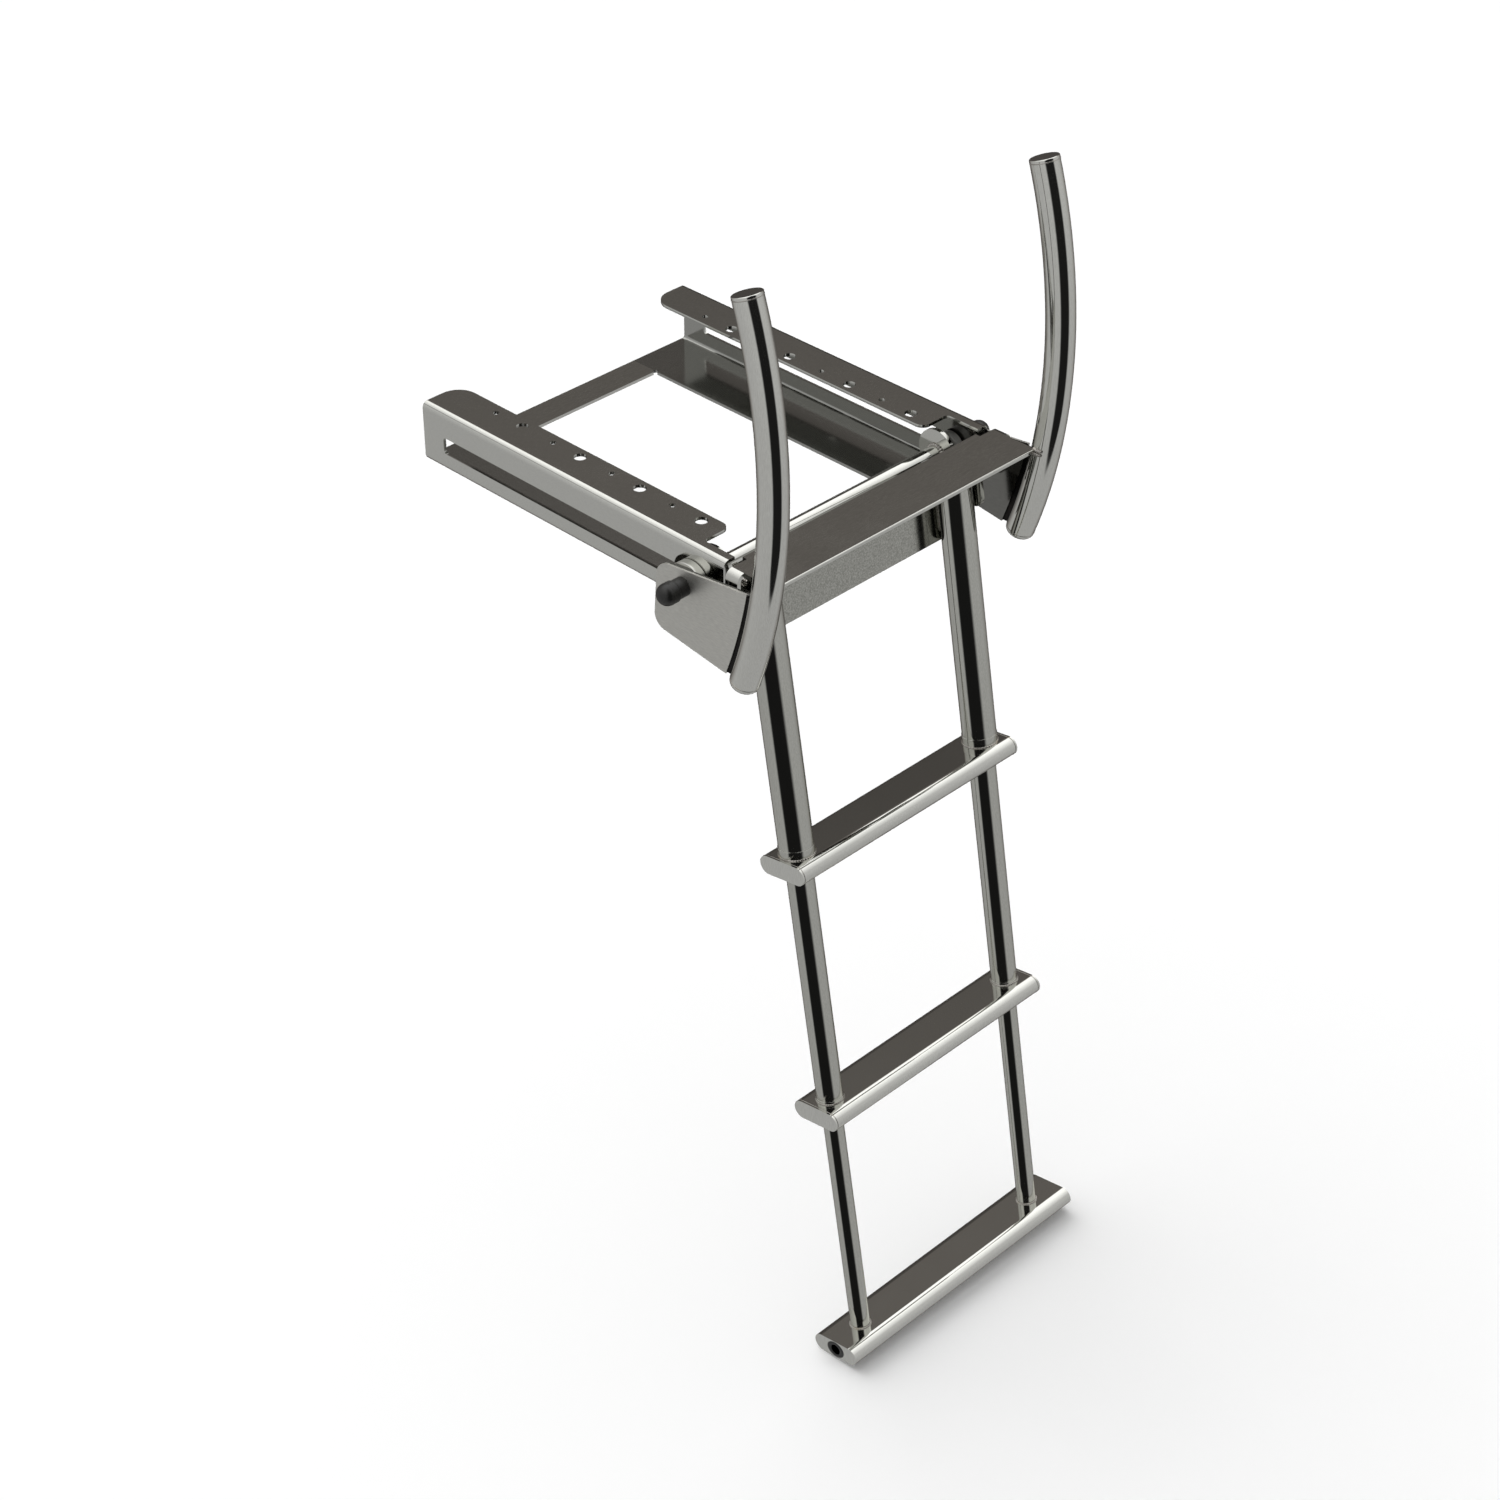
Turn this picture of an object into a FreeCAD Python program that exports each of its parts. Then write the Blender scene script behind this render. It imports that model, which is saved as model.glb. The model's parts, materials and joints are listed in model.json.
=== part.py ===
"""Telescopic swim ladder on a slotted under-platform frame.

Working axes: X along the treads, Y to the rear along the rails, Z up.
The top faces of the rail flanges lie in Z = 0. Every piece is modelled about
X = 0 and moved at the end, so that the origin lies on the left flange.
The ladder is modelled upright and then leaned, its foot forward.
All lengths are in millimetres.
"""
import math
import os

import FreeCAD
import Part

V = FreeCAD.Vector

# Sheet and rails
SHEET = 3.0
BEND_R = 6.0
RAIL_HALF = 163.0
RAIL_HEIGHT = 58.5
RAIL_REAR_Y = 208.4
RAIL_FRONT_Y = -173.0
TOP_FLANGE = 44.3
BOTTOM_FLANGE = 69.5
FRONT_STRIP = 13.0
TOP_CUT_Y = -136.6
CORNER_R = 20.0
CUT_R = 9.0
STRIP_DEPTH = 30.0
RELIEF_R = 2.5

# Fixing holes along each flange
HOLE_PITCH = 75.0
HOLE_ROWS = 4
HOLE_INSET = 33.7
LARGE_HOLE_R = 5.9
SMALL_HOLE_R = 3.0
SMALL_STEP = 35.0

# Axle and slots
AXLE_R = 8.0
AXLE_WALL = 2.0
AXLE_Y = -137.4
AXLE_Z = -33.2
SLOT_PLAY = 0.1
SLOT_REAR_Y = 181.8
SLOT_REAR_R = 3.0
ROLLER_R = 14.0
ROLLER_W = 8.0
SPACER_R = 20.0
CAP_R = 10.0
CAP_NECK = 11.5
CAP_NECK_R = 9.0
CAP_LEN = 15.5
CAP_SKIN = 7.0

# Head: top plate, side plates, handles
HEAD_T = 4.0
HEAD_TOP = -1.5
HEAD_REAR_Y = -176.0
HEAD_FRONT_Y = -230.0
HEAD_NOTCH = 5.0
HEAD_EDGE_R = 1.2
HEAD_BEND_R = 8.0
EAR_LEN = 14.0
EAR_DROP = 30.0
EAR_GAP = 2.0
EAR_SET = 8.0
EAR_ROOT = 20.0
EAR_SPACER_R = 6.0
EAR_SPACER_UP = 9.0
SIDE_GAP = 8.4
SIDE_T = 4.0
SIDE_FRONT_GAP = 6.0
SEAM_INSET = 1.0
SEAM_END = 4.0

# Side plate corners, measured from the axle centre
SIDE_FRONT = 88.0
SIDE_FRONT_UP = 26.5
SIDE_BACK = 31.0
SIDE_BACK_UP = 11.8
SIDE_HEEL = 36.0
SIDE_HEEL_DOWN = 52.3
SIDE_TOE = 70.0
SIDE_TOE_DOWN = 65.9
SIDE_BACK_R = 16.0
SIDE_HEEL_R = 13.0

# Handles
HANDLE_R = 13.2
HANDLE_WALL = 1.5
HANDLE_ARC_R = 538.7
HANDLE_ARC_Z = 87.3
HANDLE_BULGE_Y = -240.2
HANDLE_TOP_Z = 260.0
HANDLE_FOOT_Z = -94.0
HANDLE_CAP_T = 3.0
HANDLE_FOOT_T = 6.0

# Ladder
LEAN_DEG = 10.0
LADDER_Y = -166.6
TUBE_INSET = 40.0
UPPER_R = 16.0
MID_R = 12.5
LOW_R = 9.5
TUBE_WALL = 1.5
RUN_FIT = 0.08
STEP_TOP = 300.0
STEP_PITCH = 260.0
STEP_T = 18.4
STEP_FLAT = 35.0
STEP_WALL = 2.0
STEP_OVERHANG = 20.5
LAST_STEP_MORE = 15.0
DRAIN_R = 6.0
COLLAR_H = 3.0
COLLAR_LIP = 1.6
RING_LEN = 15.0
STOP_GAP = 0.3
FOLD_GAP = 2.0
TUBE_TOP = 32.0
TOP_DISC = 2.0
SHEET_BOTTOM = 98.0
GUSSET_T = 4.0
EYE_R = 20.0
EYE_UP = 3.0
NECK_DOWN = 13.0
FLANGE_CLEAR = 6.0
ARM_SET = 3.0
ARM_W = 30.0
GUSSET_DROP = 34.0

# Derived sizes
WEB_IN = RAIL_HALF - SHEET
HOLE_X = RAIL_HALF - HOLE_INSET
EAR_OUT = RAIL_HALF + EAR_GAP + HEAD_T
HEAD_HALF = EAR_OUT - EAR_SET
EAR_Y = HEAD_REAR_Y - HEAD_NOTCH - EAR_LEN
NOTCH_X = RAIL_HALF - FRONT_STRIP - FLANGE_CLEAR
TUBE_HALF = WEB_IN - TUBE_INSET
STEP_HALF = TUBE_HALF + STEP_OVERHANG
LAST_STEP_HALF = STEP_HALF + LAST_STEP_MORE
GUSSET_X = TUBE_HALF + UPPER_R
SLOT_R = AXLE_R + SLOT_PLAY
SIDE_IN = RAIL_HALF + SIDE_GAP
SIDE_OUT = SIDE_IN + SIDE_T
HANDLE_X = SIDE_IN + SIDE_T / 2
HANDLE_ARC_Y = HANDLE_BULGE_Y + HANDLE_ARC_R
UPPER_IN = UPPER_R - TUBE_WALL
MID_IN = MID_R - TUBE_WALL
STEP_ROUND = STEP_T / 2
STEP_2 = STEP_TOP + STEP_PITCH
STEP_3 = STEP_2 + STEP_PITCH
TRAVEL = STEP_PITCH - STEP_T - COLLAR_H - FOLD_GAP
MID_TOP = TUBE_TOP + TOP_DISC + FOLD_GAP + TRAVEL
LOW_TOP = MID_TOP + TRAVEL + FOLD_GAP
ORIGIN = V(-HOLE_X, SMALL_STEP / 2, 0)


def box(x0, x1, y0, y1, z0, z1):
    """Block between two corners."""
    return Part.makeBox(x1 - x0, y1 - y0, z1 - z0, V(x0, y0, z0))


def rod_x(r, x0, x1, y, z):
    """Round bar along X."""
    return Part.makeCylinder(r, x1 - x0, V(x0, y, z), V(1, 0, 0))


def rod_down(r, x, s0, s1, q=0.0):
    """Round bar down the upright ladder, from depth s0 to depth s1."""
    return Part.makeCylinder(r, s1 - s0, V(x, -q, -s1), V(0, 0, 1))


def rounded(points, radii):
    """Closed wire through corner points, each corner rounded by its own radius."""
    n = len(points)
    edges = []
    ends = []
    for i in range(n):
        p = points[i]
        r = radii[i]
        a = (points[i - 1] - p).normalize()
        b = (points[(i + 1) % n] - p).normalize()
        if r <= 0:
            ends.append((p, p, None))
            continue
        half = math.acos(max(-1.0, min(1.0, a.dot(b)))) / 2
        run = r / math.tan(half)
        mid = (a + b).normalize()
        centre = p + mid * (r / math.sin(half))
        ends.append((p + a * run, p + b * run, centre - mid * r))
    for i in range(n):
        start, stop, crown = ends[i]
        if crown is not None:
            edges.append(Part.Arc(start, crown, stop).toShape())
        follow = ends[(i + 1) % n][0]
        if stop.distanceToPoint(follow) > 1e-6:
            edges.append(Part.makeLine(stop, follow))
    return Part.Wire(edges)


def prism(points, radii, along):
    """Solid swept straight from a rounded outline."""
    return Part.Face(rounded(points, radii)).extrude(along)


def flip(shape):
    """The same piece on the other hand."""
    return shape.mirror(V(0, 0, 0), V(1, 0, 0))


def lean(shape):
    """Turn an upright ladder piece to its lean and set it in place."""
    out = shape.copy()
    out.rotate(V(0, 0, 0), V(1, 0, 0), -LEAN_DEG)
    out.translate(V(0, LADDER_Y, 0))
    return out


def tube_y(z, q):
    """Y of the leaned line that runs q in front of the tube centres, at height z."""
    turn = math.radians(LEAN_DEG)
    return LADDER_Y + z * math.tan(turn) - q / math.cos(turn)


def channel():
    """Bent rail section: web outside, two flanges turned inward, swept along Y."""
    xo = RAIL_HALF
    xt = RAIL_HALF - TOP_FLANGE
    xb = RAIL_HALF - BOTTOM_FLANGE
    h = RAIL_HEIGHT
    r_in = BEND_R - SHEET
    corners = [(xt, 0), (xo, 0), (xo, -h), (xb, -h), (xb, SHEET - h), (WEB_IN, SHEET - h),
               (WEB_IN, -SHEET), (xt, -SHEET)]
    radii = [0, BEND_R, BEND_R, 0, 0, r_in, r_in, 0]
    pts = [V(x, RAIL_FRONT_Y, z) for x, z in corners]
    return prism(pts, radii, V(0, RAIL_REAR_Y - RAIL_FRONT_Y, 0))


def front_clearance(cut_y, inner, z0, z1):
    """Cutter that frees the space between the narrow front strips."""
    xs = RAIL_HALF - FRONT_STRIP
    far = RAIL_FRONT_Y - 5
    pts = [V(inner - 5, cut_y, z0), V(xs, cut_y, z0), V(xs, far, z0), V(inner - 5, far, z0)]
    return prism(pts, [0, 4.0, 0, 0], V(0, 0, z1 - z0))


def corner_round(x, y, sx, sy, r, z0, z1):
    """Cutter that rounds an outer sheet corner seen from above."""
    block = box(min(x, x + sx * r), max(x, x + sx * r), min(y, y + sy * r), max(y, y + sy * r), z0, z1)
    post = Part.makeCylinder(r, z1 - z0, V(x + sx * r, y + sy * r, z0))
    return block.cut(post)


def rail():
    """Right-hand rail with its slot, front clearances, rounded corners and holes."""
    body = channel()
    top_in = RAIL_HALF - TOP_FLANGE
    bottom_in = RAIL_HALF - BOTTOM_FLANGE
    lo = -RAIL_HEIGHT - 1
    body = body.cut(front_clearance(TOP_CUT_Y, top_in, -SHEET - 1.5, 1))
    body = body.cut(front_clearance(stop_y(), bottom_in, lo, -RAIL_HEIGHT + SHEET + 1.5))
    body = body.cut(corner_round(top_in, RAIL_REAR_Y, 1, -1, CORNER_R, -SHEET - 1, 1))
    body = body.cut(corner_round(top_in, TOP_CUT_Y, 1, 1, CUT_R, -SHEET - 1, 1))
    slot = box(WEB_IN - 1, RAIL_HALF + 1, AXLE_Y, SLOT_REAR_Y, AXLE_Z - SLOT_R, AXLE_Z + SLOT_R)
    rear = [e for e in slot.Edges if abs(e.CenterOfMass.y - SLOT_REAR_Y) < 1e-6 and e.Length < 6]
    slot = slot.makeFillet(SLOT_REAR_R, rear)
    body = body.cut(slot)
    body = body.cut(rod_x(SLOT_R, WEB_IN - 1, RAIL_HALF + 1, AXLE_Y, AXLE_Z))
    span = HOLE_PITCH * (HOLE_ROWS - 1)
    for i in range(HOLE_ROWS):
        y = -span / 2 + i * HOLE_PITCH
        body = body.cut(Part.makeCylinder(LARGE_HOLE_R, 8, V(HOLE_X, y, -6)))
        body = body.cut(Part.makeCylinder(SMALL_HOLE_R, 8, V(HOLE_X, y + SMALL_STEP, -6)))
    relief = Part.makeCylinder(RELIEF_R, 8, V(bottom_in, RAIL_REAR_Y - STRIP_DEPTH, lo))
    return body.cut(relief)


def stop_y():
    """Front edge of the bottom flange: the back sheet comes to rest against it."""
    return tube_y(SHEET - RAIL_HEIGHT, -UPPER_R - SHEET) + STOP_GAP


def cross_strip():
    """Flat strip that joins the bottom flanges at the rear."""
    x = RAIL_HALF - BOTTOM_FLANGE
    y0 = RAIL_REAR_Y - STRIP_DEPTH
    strip = box(-x, x, y0, RAIL_REAR_Y, -RAIL_HEIGHT, SHEET - RAIL_HEIGHT)
    for side in (-1, 1):
        strip = strip.cut(Part.makeCylinder(RELIEF_R, 8, V(side * x, y0, -RAIL_HEIGHT - 1)))
    return strip


def axle():
    """Hollow cross axle through both slots, into the end caps."""
    x = SIDE_OUT + CAP_NECK + CAP_LEN - CAP_SKIN - 1
    return rod_x(AXLE_R, -x, x, AXLE_Y, AXLE_Z).cut(rod_x(AXLE_R - AXLE_WALL, -x, x, AXLE_Y, AXLE_Z))


def ring_x(r_out, x0, x1):
    """Ring on the axle, its edges broken."""
    ring = rod_x(r_out, x0, x1, AXLE_Y, AXLE_Z)
    edges = [e for e in ring.Edges if isinstance(e.Curve, Part.Circle)]
    ring = ring.makeChamfer(0.6, edges)
    return ring.cut(rod_x(AXLE_R, x0 - 1, x1 + 1, AXLE_Y, AXLE_Z))


def end_cap():
    """Push-on cap over the axle end: a neck against the side plate and a domed head."""
    x0 = SIDE_OUT + CAP_NECK
    x1 = x0 + CAP_LEN
    head = rod_x(CAP_R, x0, x1, AXLE_Y, AXLE_Z)
    far = [e for e in head.Edges if isinstance(e.Curve, Part.Circle) and e.CenterOfMass.x > x1 - 0.5]
    head = head.makeFillet(CAP_R * 0.95, far)
    body = head.fuse(rod_x(CAP_NECK_R, SIDE_OUT, x0 + 1, AXLE_Y, AXLE_Z)).removeSplitter()
    return body.cut(rod_x(AXLE_R, SIDE_OUT - 1, x1 - CAP_SKIN, AXLE_Y, AXLE_Z))


def arc_place(x, z):
    """Point of the handle's centre line at a height, and its upward tangent."""
    rise = (z - HANDLE_ARC_Z) / HANDLE_ARC_R
    turn = math.asin(rise)
    y = HANDLE_ARC_Y - HANDLE_ARC_R * math.cos(turn)
    return V(x, y, z), V(0, rise, math.cos(turn))


def arc_bar(r, x, z0, z1):
    """Round bar bent along the handle arc between two heights."""
    a0 = math.degrees(math.asin((z0 - HANDLE_ARC_Z) / HANDLE_ARC_R))
    a1 = math.degrees(math.asin((z1 - HANDLE_ARC_Z) / HANDLE_ARC_R))
    point, tangent = arc_place(x, z0)
    disc = Part.Face(Part.Wire(Part.makeCircle(r, point, tangent)))
    return disc.revolve(V(x, HANDLE_ARC_Y, HANDLE_ARC_Z), V(-1, 0, 0), a1 - a0)


def handle():
    """Bent grab tube, bulging forward, between its two end caps."""
    tube = arc_bar(HANDLE_R, HANDLE_X, HANDLE_FOOT_Z, HANDLE_TOP_Z)
    bore = arc_bar(HANDLE_R - HANDLE_WALL, HANDLE_X, HANDLE_FOOT_Z - 1, HANDLE_TOP_Z + 1)
    return tube.cut(bore)


def handle_cap(z, way, length, rim_r):
    """Disc welded to one end of the handle, its outer rim rounded."""
    point, tangent = arc_place(HANDLE_X, z)
    cap = Part.makeCylinder(HANDLE_R, length, point, tangent * way)
    far = point + tangent * (way * length)
    rim = [e for e in cap.Edges if isinstance(e.Curve, Part.Circle) and e.CenterOfMass.distanceToPoint(far) < 0.1]
    return cap.makeFillet(rim_r, rim)


def side_plate():
    """Plate from the axle to the handle, its front edge following the handle arc."""
    corners = [(-SIDE_FRONT, SIDE_FRONT_UP), (SIDE_BACK, SIDE_BACK_UP), (SIDE_HEEL, -SIDE_HEEL_DOWN),
               (-SIDE_TOE, -SIDE_TOE_DOWN)]
    pts = [V(SIDE_IN, AXLE_Y + y, AXLE_Z + z) for y, z in corners]
    plate = prism(pts, [0, SIDE_BACK_R, SIDE_HEEL_R, 0], V(SIDE_T, 0, 0))
    bow = HANDLE_ARC_R - HANDLE_R - SIDE_FRONT_GAP
    room = rod_x(bow, SIDE_IN - 1, SIDE_OUT + 1, HANDLE_ARC_Y, HANDLE_ARC_Z)
    plate = plate.common(room)
    return plate.cut(rod_x(AXLE_R, SIDE_IN - 1, SIDE_OUT + 1, AXLE_Y, AXLE_Z))


def side_weld():
    """Recessed seam between the side plate's front edge and the handle tube."""
    inner = SIDE_IN + SEAM_INSET
    outer = SIDE_OUT - SEAM_INSET
    top = AXLE_Z + SIDE_FRONT_UP - SEAM_END
    foot = AXLE_Z - SIDE_TOE_DOWN + SEAM_END
    band = box(inner, outer, AXLE_Y - SIDE_FRONT - HANDLE_R, AXLE_Y, foot, top)
    near = rod_x(HANDLE_ARC_R - HANDLE_R - SIDE_FRONT_GAP, inner - 1, outer + 1, HANDLE_ARC_Y, HANDLE_ARC_Z)
    far = arc_bar(HANDLE_R, HANDLE_X, foot - HANDLE_R, top + HANDLE_R)
    limit = rod_x(HANDLE_ARC_R - HANDLE_R + 0.2, inner - 1, outer + 1, HANDLE_ARC_Y, HANDLE_ARC_Z)
    return band.common(limit).cut(near).cut(far)


def head_plate():
    """Top step plate with relieved rear corners and an ear bent down at each side."""
    t = HEAD_T
    z1 = HEAD_TOP
    plate = box(-HEAD_HALF, HEAD_HALF, HEAD_FRONT_Y, EAR_Y + EAR_LEN, z1 - t, z1)
    plate = plate.fuse(box(-NOTCH_X, NOTCH_X, EAR_Y, HEAD_REAR_Y, z1 - t, z1)).removeSplitter()
    front = [e for e in plate.Edges if abs(e.CenterOfMass.y - HEAD_FRONT_Y) < 1e-6 and e.Length > HEAD_HALF]
    plate = plate.makeFillet(HEAD_EDGE_R, front)
    for side in (-1, 1):
        flank = [(EAR_OUT - EAR_ROOT, z1), (EAR_OUT, z1), (EAR_OUT, z1 - EAR_DROP),
                 (EAR_OUT - t, z1 - EAR_DROP), (EAR_OUT - t, z1 - t), (EAR_OUT - EAR_ROOT, z1 - t)]
        pts = [V(side * x, EAR_Y, z) for x, z in flank]
        ear = prism(pts, [0, HEAD_BEND_R, 0, 0, HEAD_BEND_R - t, 0], V(0, EAR_LEN, 0))
        x0, x1 = sorted((side * (EAR_OUT - EAR_ROOT), side * (EAR_OUT + 1)))
        plate = plate.cut(box(x0, x1, EAR_Y, HEAD_REAR_Y + 1, z1 - t - 1, z1 + 1)).fuse(ear)
    plate = plate.removeSplitter()
    for side in (-1, 1):
        plate = plate.cut(arc_bar(HANDLE_R, side * HANDLE_X, z1 - HANDLE_R, z1 + HANDLE_R))
    return plate


def ear_spacer():
    """Round spacer between the head plate's ear and the side plate."""
    y = EAR_Y + EAR_LEN / 2
    z = HEAD_TOP - EAR_DROP + EAR_SPACER_UP
    return rod_x(EAR_SPACER_R, EAR_OUT, SIDE_IN, y, z)


def back_sheet():
    """Sheet welded behind both upper tubes, from the axle height down."""
    return lean(box(-GUSSET_X, GUSSET_X, UPPER_R, UPPER_R + SHEET, -SHEET_BOTTOM, -TUBE_TOP))


def gusset():
    """Hinge cheek: an eye on the axle, a neck that passes between the flanges as the head swings,
    an arm up to the head plate and a foot along the tube."""
    seat = HEAD_TOP - HEAD_T
    near = AXLE_Y + AXLE_Z + SHEET + FLANGE_CLEAR
    past = AXLE_Y + AXLE_Z - FLANGE_CLEAR
    rear = stop_y() - FLANGE_CLEAR
    foot = AXLE_Z - GUSSET_DROP
    low = AXLE_Z - NECK_DOWN
    eye_z = AXLE_Z + EYE_UP
    arm = HEAD_REAR_Y - ARM_SET
    outline = [(AXLE_Y - EYE_R / 2, eye_z + EYE_R * 0.8), (near, AXLE_Z), (past, AXLE_Z), (arm, seat),
               (arm - ARM_W, seat), (tube_y(AXLE_Z, UPPER_R), AXLE_Z), (tube_y(foot, UPPER_R), foot),
               (rear, foot), (rear, low), (AXLE_Y, low)]
    pts = [V(GUSSET_X, y, z) for y, z in outline]
    body = prism(pts, [0, 4, 4, 0, 0, 12, 9, 9, 2, 0], V(GUSSET_T, 0, 0))
    body = body.fuse(rod_x(EYE_R, GUSSET_X, GUSSET_X + GUSSET_T, AXLE_Y, eye_z)).removeSplitter()
    return body.cut(rod_x(AXLE_R, GUSSET_X - 1, GUSSET_X + GUSSET_T + 1, AXLE_Y, AXLE_Z))


def upper_tube():
    """Large tube, closed above, open into the first step."""
    outer = rod_down(UPPER_R, TUBE_HALF, TUBE_TOP, STEP_TOP)
    return lean(outer.cut(rod_down(UPPER_IN, TUBE_HALF, TUBE_TOP + TOP_DISC, STEP_TOP + 1)))


def collar(r, step_s):
    """Rounded weld ring where a tube meets a step."""
    ring = rod_down(r + COLLAR_LIP, TUBE_HALF, step_s - COLLAR_H, step_s)
    top = [e for e in ring.Edges if isinstance(e.Curve, Part.Circle) and e.CenterOfMass.z > COLLAR_H - step_s - 0.5]
    ring = ring.makeFillet(1.2, top)
    return lean(ring.cut(rod_down(r, TUBE_HALF, step_s - COLLAR_H - 1, step_s + 1)))


def stadium(s, half, inset):
    """Flattened round bar along X below depth s, drawn in by an inset all round."""
    r = STEP_ROUND - inset
    c = STEP_FLAT / 2
    z = -s - STEP_ROUND
    body = box(-half, half, -c, c, z - r, z + r)
    for y in (-c, c):
        body = body.fuse(rod_x(r, -half, half, y, z))
    return body.removeSplitter()


def step(s, half, hole_r):
    """Hollow closed step; the tubes' guide bushes pass through its walls."""
    body = stadium(s, half, 0).cut(stadium(s, half - STEP_WALL, STEP_WALL))
    for side in (-1, 1):
        if hole_r > 0:
            body = body.cut(rod_down(hole_r, side * TUBE_HALF, s - 1, s + STEP_T + 1))
        else:
            x0, x1 = sorted((side * (half - 4), side * (half + 1)))
            body = body.cut(rod_x(DRAIN_R, x0, x1, 0, -s - STEP_ROUND))
    return lean(body)


def bush(r_tube, r_hole, s):
    """Plain guide bush inside a step, bored to run on the tube below."""
    outer = rod_down(r_hole, TUBE_HALF, s, s + STEP_T)
    return lean(outer.cut(rod_down(r_tube + RUN_FIT, TUBE_HALF, s - 1, s + STEP_T + 1)))


def slide_ring(r_tube, r_bore, s_stop):
    """Ring on the head of an inner tube; it lands on the bush at full reach."""
    s1 = s_stop - STOP_GAP
    outer = rod_down(r_bore - RUN_FIT, TUBE_HALF, s1 - RING_LEN, s1)
    return outer.cut(rod_down(r_tube, TUBE_HALF, s1 - RING_LEN - 1, s1 + 1))


def mid_tube():
    """Middle tube, from its head inside the upper tube to the second step."""
    outer = rod_down(MID_R, TUBE_HALF, MID_TOP, STEP_2)
    return lean(outer.cut(rod_down(MID_IN, TUBE_HALF, MID_TOP - 1, STEP_2 + 1)))


def low_tube():
    """Small tube with its slide ring, standing on the last step."""
    outer = rod_down(LOW_R, TUBE_HALF, LOW_TOP, STEP_3)
    bore = rod_down(LOW_R - TUBE_WALL, TUBE_HALF, LOW_TOP - 1, STEP_3 + 1)
    body = outer.fuse(slide_ring(LOW_R - 0.5, MID_IN, STEP_2)).cut(bore)
    return lean(body.removeSplitter())


def pair(name, shape):
    """A right-hand piece and its mirror image."""
    return {name + "_right": shape, name + "_left": flip(shape)}


def build():
    """Every node by name."""
    nodes = {}
    nodes.update(pair("rail", rail()))
    nodes["cross_strip"] = cross_strip()
    nodes["axle"] = axle()
    nodes.update(pair("axle_roller", ring_x(ROLLER_R, WEB_IN - 2 - ROLLER_W, WEB_IN - 2)))
    nodes.update(pair("axle_spacer", ring_x(SPACER_R, RAIL_HALF + 0.4, SIDE_IN)))
    nodes.update(pair("axle_cap", end_cap()))
    nodes["head_plate"] = head_plate()
    nodes.update(pair("ear_spacer", ear_spacer()))
    nodes.update(pair("side_plate", side_plate()))
    nodes.update(pair("side_weld", side_weld()))
    nodes.update(pair("handle", handle()))
    nodes.update(pair("handle_top_cap", handle_cap(HANDLE_TOP_Z, 1, HANDLE_CAP_T, 1.0)))
    nodes.update(pair("handle_foot_cap", handle_cap(HANDLE_FOOT_Z, -1, HANDLE_FOOT_T, 4.5)))
    nodes["back_sheet"] = back_sheet()
    nodes.update(pair("hinge_gusset", gusset()))
    nodes.update(pair("upper_tube", upper_tube()))
    nodes.update(pair("upper_collar", collar(UPPER_R, STEP_TOP)))
    nodes["step_upper"] = step(STEP_TOP, STEP_HALF, UPPER_IN)
    nodes.update(pair("upper_bush", bush(MID_R, UPPER_IN, STEP_TOP)))
    nodes.update(pair("mid_tube", mid_tube()))
    nodes.update(pair("mid_slide_ring", lean(slide_ring(MID_R, UPPER_IN, STEP_TOP))))
    nodes.update(pair("mid_collar", collar(MID_R, STEP_2)))
    nodes["step_middle"] = step(STEP_2, STEP_HALF, MID_IN)
    nodes.update(pair("mid_bush", bush(LOW_R, MID_IN, STEP_2)))
    nodes.update(pair("low_tube", low_tube()))
    nodes["step_lower"] = step(STEP_3, LAST_STEP_HALF, 0)
    return nodes


os.makedirs("parts", exist_ok=True)
for name, shape in build().items():
    solid = shape.copy()
    solid.translate(V(0, 0, 0) - ORIGIN)
    if solid.ShapeType != "Solid" and len(solid.Solids) == 1:
        solid = solid.Solids[0]
    solid.exportStep("parts/" + name + ".step")
    print(name, len(shape.Solids), round(shape.Volume / 1000, 2), shape.isValid())
print("travel", round(TRAVEL, 2), "stop y", round(stop_y(), 2), "mid top", MID_TOP, "low top", LOW_TOP)
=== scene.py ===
# %% [markdown]
# Telescopic swim ladder in polished stainless steel, dressed for a studio picture.
# The rigid pieces come from the imported model, which is already in place and in metres.
# This file gives them their finishes, adds the small things that a welder and a fitter leave
# behind, and lights the ladder on a pale floor. The model is loaded first, and its box is kept
# and printed; the last cell prints the box of the dressed ladder.

import json
import math

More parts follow.
